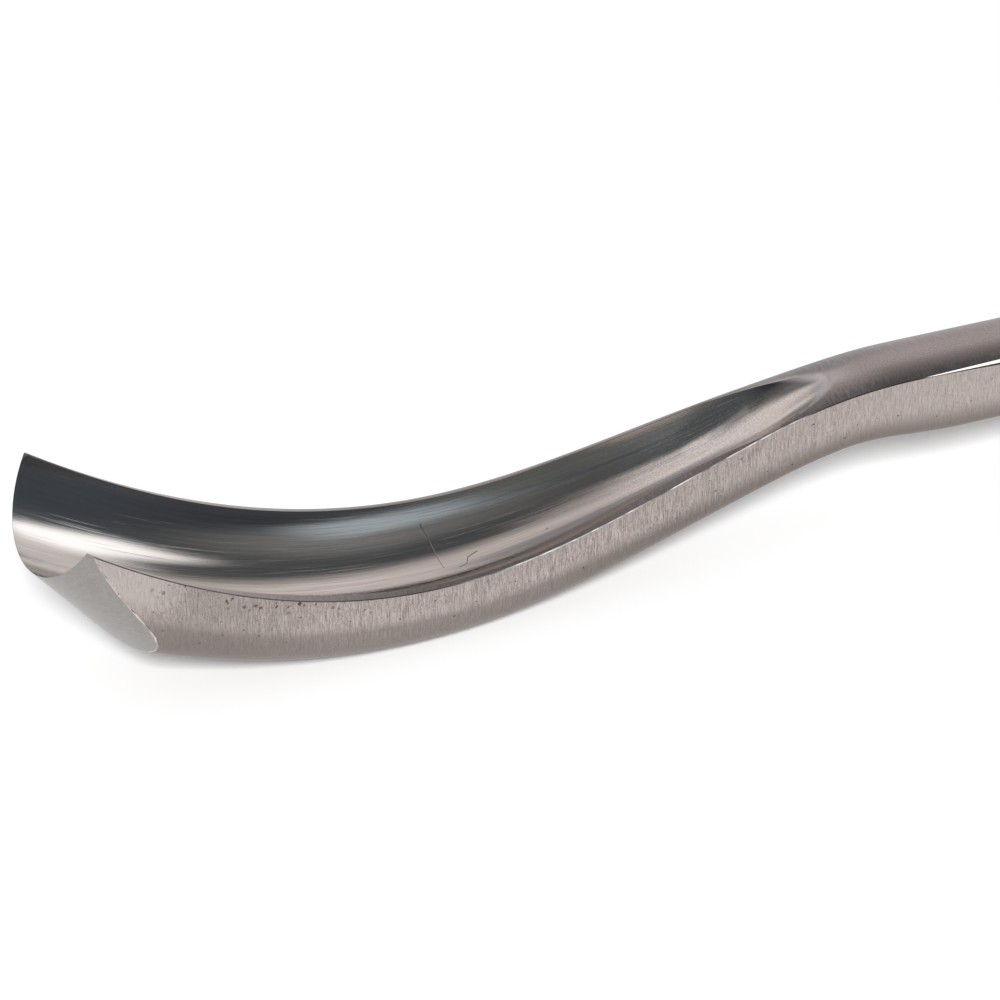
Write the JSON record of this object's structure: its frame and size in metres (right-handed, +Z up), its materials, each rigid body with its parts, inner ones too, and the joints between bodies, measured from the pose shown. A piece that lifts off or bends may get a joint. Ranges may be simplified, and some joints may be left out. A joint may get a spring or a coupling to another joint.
{
  "type": "bent gouge",
  "caption": "Wood carving gouge with a lengthwise S-bent fluted steel blade, bevelled cutting edge, flat sided shank, brass ferrule and octagonal wooden handle.",
  "frame": {"origin": "on the bench plane, under the middle of the tool's length and width", "axes": "+X from the cutting edge to the butt, +Z up with the flute opening upwards, +Y to the left of the tool seen from the butt with the flute up"},
  "size_m": [0.2686, 0.0296, 0.0296],
  "materials": {
    "blade": "sides ground across with fine lines, flute polished lengthwise, bevel finely honed",
    "ferrule": "turned and lightly tarnished",
    "handle": "oiled hardwood, grain along the length"
  },
  "bodies": {
    "root": {"blade": "blade", "ferrule": "ferrule", "handle": "handle"}
  },
  "joints": []
}
